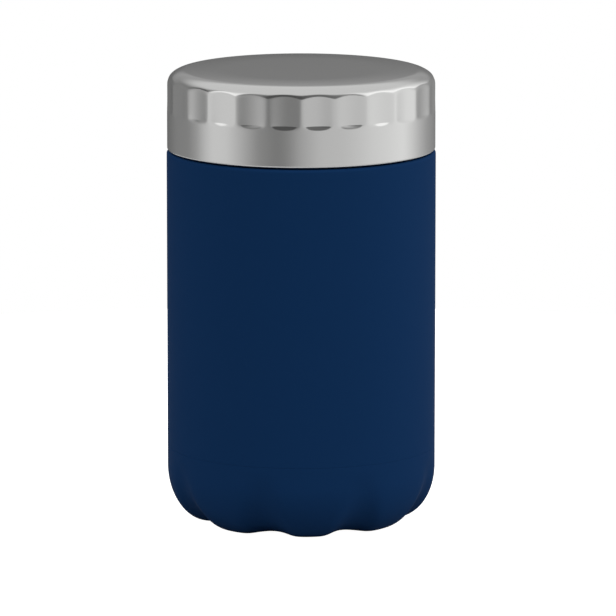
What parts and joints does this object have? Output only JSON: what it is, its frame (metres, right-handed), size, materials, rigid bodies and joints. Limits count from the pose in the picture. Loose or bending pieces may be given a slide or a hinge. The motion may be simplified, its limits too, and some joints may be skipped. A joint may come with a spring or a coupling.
{
  "type": "insulated food jar",
  "caption": "Double-walled steel food jar with a powder-coated body on a scalloped foot and a fluted screw-on steel lid with plug and seal.",
  "frame": {"origin": "centre of the foot, in the plane that the jar stands on", "axes": "+Z along the jar's axis, up through the lid; +X and -Y point at two of the foot's lobes"},
  "size_m": [0.1, 0.1, 0.1697],
  "materials": {
    "navy_coat": "matt fine-textured powder coat in dark navy",
    "lid_steel": "satin, bead-blasted stainless steel",
    "neck_steel": "turned stainless steel",
    "liner_steel": "electropolished stainless steel",
    "copper_foil": "soft copper foil",
    "getter": "pressed, sintered metal powder",
    "sealing_glass": "fused solder glass",
    "insert_plastic": "moulded polypropylene with a fine grain",
    "foam": null,
    "silicone": "food-grade silicone, satin"
  },
  "bodies": {
    "jar": {"outer_shell": "navy_coat", "outer_base": "navy_coat", "neck_ring": "neck_steel", "inner_vessel": "liner_steel", "inner_base": "liner_steel", "foil_wrap": "copper_foil", "foil_disc": "copper_foil", "getter_clip": "neck_steel", "getter_pill": "getter", "port_seal": "sealing_glass", "base_cover": "neck_steel"},
    "seal": {"lid_gasket": "silicone"},
    "lid": {"lid_shell": "lid_steel", "thread_insert": "insert_plastic", "plug_cup": "insert_plastic", "lid_foam": "foam"}
  },
  "joints": [
    {"name": "lid_rise", "type": "slide", "parent": "jar", "child": "seal", "axis": [0, 0, 1], "range_m": [0, 0.0401]},
    {"name": "lid_turn", "type": "hinge", "parent": "seal", "child": "lid", "pos_m": [0, 0, 0.1548], "axis": [0, 0, 1], "range_deg": [0, 1800]}
  ],
  "couplings": [
    {"joint": "lid_rise", "follows": "lid_turn", "m_per_rad": 0.0012732}
  ]
}
